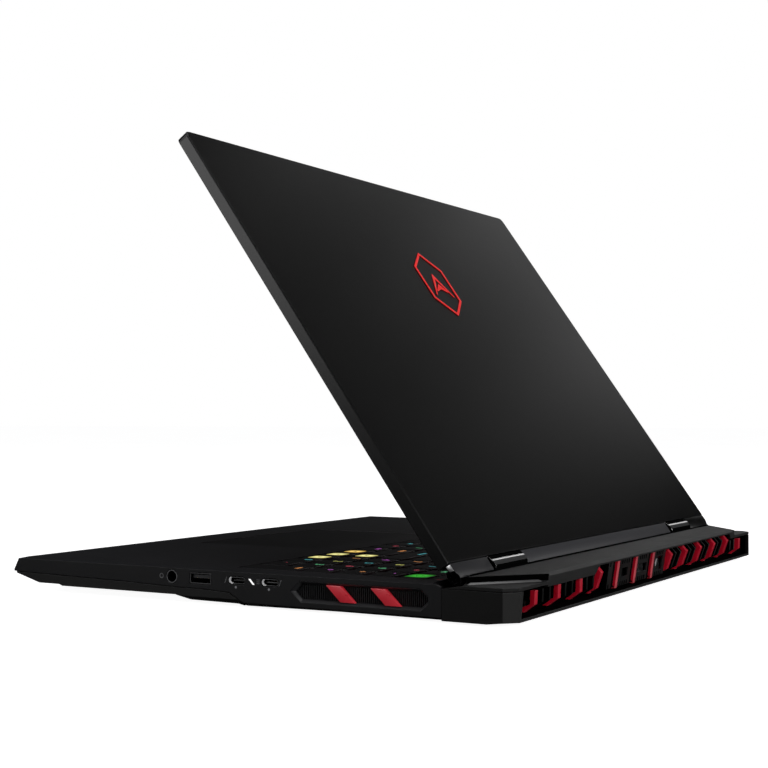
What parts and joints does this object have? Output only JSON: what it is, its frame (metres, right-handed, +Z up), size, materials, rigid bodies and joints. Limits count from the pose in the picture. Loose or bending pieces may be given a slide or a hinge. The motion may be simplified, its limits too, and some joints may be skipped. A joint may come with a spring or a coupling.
{
  "type": "laptop computer",
  "caption": "Large gaming laptop, lid part open on rear hinges, with keys, touchpad, side and rear ports, fans and a ribbed rear exhaust.",
  "frame": {"origin": "middle of the base's footprint, in the plane of the feet's undersides", "axes": "+X to the user's right, +Y from the user to the rear edge, +Z up; the lid is stored open at 54.7 degrees"},
  "size_m": [0.38, 0.297, 0.2395],
  "materials": {
    "deck_metal": "blasted, anodised",
    "lid_metal": "satin, anodised",
    "shell_plastic": "fine texture",
    "grey_plastic": "satin",
    "black_plastic": "matte",
    "red_plastic": "glossy, translucent",
    "key_plastic": "matte with lit legends",
    "lit_key_plastic": "clear and lit from below",
    "rubber": "matte",
    "steel": "satin",
    "hinge_metal": "glossy",
    "copper": "plain copper",
    "circuit_board": "solder mask",
    "cell_wrap": "film",
    "screen_glass": "anti-glare"
  },
  "bodies": {
    "base": {"top_cover": "deck_metal", "bottom_cover": "shell_plastic", "rear_cover": "shell_plastic", "rear_shell": "shell_plastic", "rear_grille": "black_plastic", "red_ribs": "red_plastic", "side_vent_right": "black_plastic", "side_vent_left": "black_plastic", "side_slashes_right": "red_plastic", "side_slashes_left": "red_plastic", "audio_jack": "steel", "usb_a_port": "steel", "usb_c_port_front": "steel", "usb_c_port_rear": "steel", "power_inlet": "black_plastic", "hdmi_port": "steel", "network_port": "steel", "motherboard": "circuit_board", "battery_pack": "cell_wrap", "heat_pipes": "copper", "heat_fins_right": "copper", "heat_fins_left": "copper", "fan_housing_right": "black_plastic", "fan_housing_left": "black_plastic", "ssd_card": "circuit_board", "speaker_right": "black_plastic", "speaker_left": "black_plastic", "keyboard_plate": "black_plastic", "hinge_cover_right": "hinge_metal", "hinge_cover_left": "hinge_metal", "foot_front": "rubber", "foot_rear_right": "rubber", "foot_rear_left": "rubber"},
    "lid": {"lid_cover": "lid_metal", "hinge_strip_center": "grey_plastic", "hinge_strip_right": "grey_plastic", "hinge_strip_left": "lid_metal", "screen_bezel": "black_plastic", "display_panel": "screen_glass", "lid_emblem": "red_plastic", "hinge_bracket_right": "steel", "hinge_bracket_left": "steel"},
    "fan_rotor_right": {"fan_rotor_right": "black_plastic"},
    "fan_rotor_left": {"fan_rotor_left": "black_plastic"},
    "function_key_row": {"function_key_row": "key_plastic"},
    "number_key_row": {"number_key_row": "key_plastic"},
    "upper_key_row": {"upper_key_row": "key_plastic"},
    "home_key_row": {"home_key_row": "key_plastic"},
    "lower_key_row": {"lower_key_row": "key_plastic"},
    "bottom_key_row": {"bottom_key_row": "key_plastic"},
    "space_bar": {"space_bar": "key_plastic"},
    "right_modifier_keys": {"right_modifier_keys": "key_plastic"},
    "arrow_left_key": {"arrow_left_key": "lit_key_plastic"},
    "arrow_down_key": {"arrow_down_key": "lit_key_plastic"},
    "arrow_right_key": {"arrow_right_key": "lit_key_plastic"},
    "arrow_up_key": {"arrow_up_key": "lit_key_plastic"},
    "number_pad_keys": {"number_pad_keys": "key_plastic"},
    "number_pad_enter_key": {"number_pad_enter_key": "key_plastic"},
    "power_key": {"power_key": "lit_key_plastic"},
    "touchpad": {"touchpad": "deck_metal"}
  },
  "joints": [
    {"name": "lid_hinge", "type": "hinge", "parent": "base", "child": "lid", "pos_m": [0, 0.1135, 0.0208], "axis": [-1, 0, 0], "range_deg": [-54.7, 70.3]},
    {"name": "fan_right_spin", "type": "hinge", "parent": "base", "child": "fan_rotor_right", "pos_m": [0.128, 0.062, 0.0085], "axis": [0, 0, 1], "continuous": true},
    {"name": "fan_left_spin", "type": "hinge", "parent": "base", "child": "fan_rotor_left", "pos_m": [-0.128, 0.062, 0.0085], "axis": [0, 0, 1], "continuous": true},
    {"name": "function_key_row_press", "type": "slide", "parent": "base", "child": "function_key_row", "axis": [0, 0, -1], "range_m": [0, 0.0015], "stiffness_N_per_m": 600, "springref_m": -0.0008},
    {"name": "number_key_row_press", "type": "slide", "parent": "base", "child": "number_key_row", "axis": [0, 0, -1], "range_m": [0, 0.0015], "stiffness_N_per_m": 600, "springref_m": -0.0008},
    {"name": "upper_key_row_press", "type": "slide", "parent": "base", "child": "upper_key_row", "axis": [0, 0, -1], "range_m": [0, 0.0015], "stiffness_N_per_m": 600, "springref_m": -0.0008},
    {"name": "home_key_row_press", "type": "slide", "parent": "base", "child": "home_key_row", "axis": [0, 0, -1], "range_m": [0, 0.0015], "stiffness_N_per_m": 600, "springref_m": -0.0008},
    {"name": "lower_key_row_press", "type": "slide", "parent": "base", "child": "lower_key_row", "axis": [0, 0, -1], "range_m": [0, 0.0015], "stiffness_N_per_m": 600, "springref_m": -0.0008},
    {"name": "bottom_key_row_press", "type": "slide", "parent": "base", "child": "bottom_key_row", "axis": [0, 0, -1], "range_m": [0, 0.0015], "stiffness_N_per_m": 600, "springref_m": -0.0008},
    {"name": "space_bar_press", "type": "slide", "parent": "base", "child": "space_bar", "axis": [0, 0, -1], "range_m": [0, 0.0015], "stiffness_N_per_m": 300, "springref_m": -0.0008},
    {"name": "right_modifier_keys_press", "type": "slide", "parent": "base", "child": "right_modifier_keys", "axis": [0, 0, -1], "range_m": [0, 0.0015], "stiffness_N_per_m": 600, "springref_m": -0.0008},
    {"name": "arrow_left_key_press", "type": "slide", "parent": "base", "child": "arrow_left_key", "axis": [0, 0, -1], "range_m": [0, 0.0015], "stiffness_N_per_m": 300, "springref_m": -0.0008},
    {"name": "arrow_down_key_press", "type": "slide", "parent": "base", "child": "arrow_down_key", "axis": [0, 0, -1], "range_m": [0, 0.0015], "stiffness_N_per_m": 300, "springref_m": -0.0008},
    {"name": "arrow_right_key_press", "type": "slide", "parent": "base", "child": "arrow_right_key", "axis": [0, 0, -1], "range_m": [0, 0.0015], "stiffness_N_per_m": 300, "springref_m": -0.0008},
    {"name": "arrow_up_key_press", "type": "slide", "parent": "base", "child": "arrow_up_key", "axis": [0, 0, -1], "range_m": [0, 0.0015], "stiffness_N_per_m": 300, "springref_m": -0.0008},
    {"name": "number_pad_keys_press", "type": "slide", "parent": "base", "child": "number_pad_keys", "axis": [0, 0, -1], "range_m": [0, 0.0015], "stiffness_N_per_m": 600, "springref_m": -0.0008},
    {"name": "number_pad_enter_key_press", "type": "slide", "parent": "base", "child": "number_pad_enter_key", "axis": [0, 0, -1], "range_m": [0, 0.0015], "stiffness_N_per_m": 300, "springref_m": -0.0008},
    {"name": "power_key_press", "type": "slide", "parent": "base", "child": "power_key", "axis": [0, 0, -1], "range_m": [0, 0.0015], "stiffness_N_per_m": 300, "springref_m": -0.0008},
    {"name": "touchpad_click", "type": "slide", "parent": "base", "child": "touchpad", "axis": [0, 0, -1], "range_m": [0, 0.0005], "stiffness_N_per_m": 2500, "springref_m": -0.0006}
  ]
}
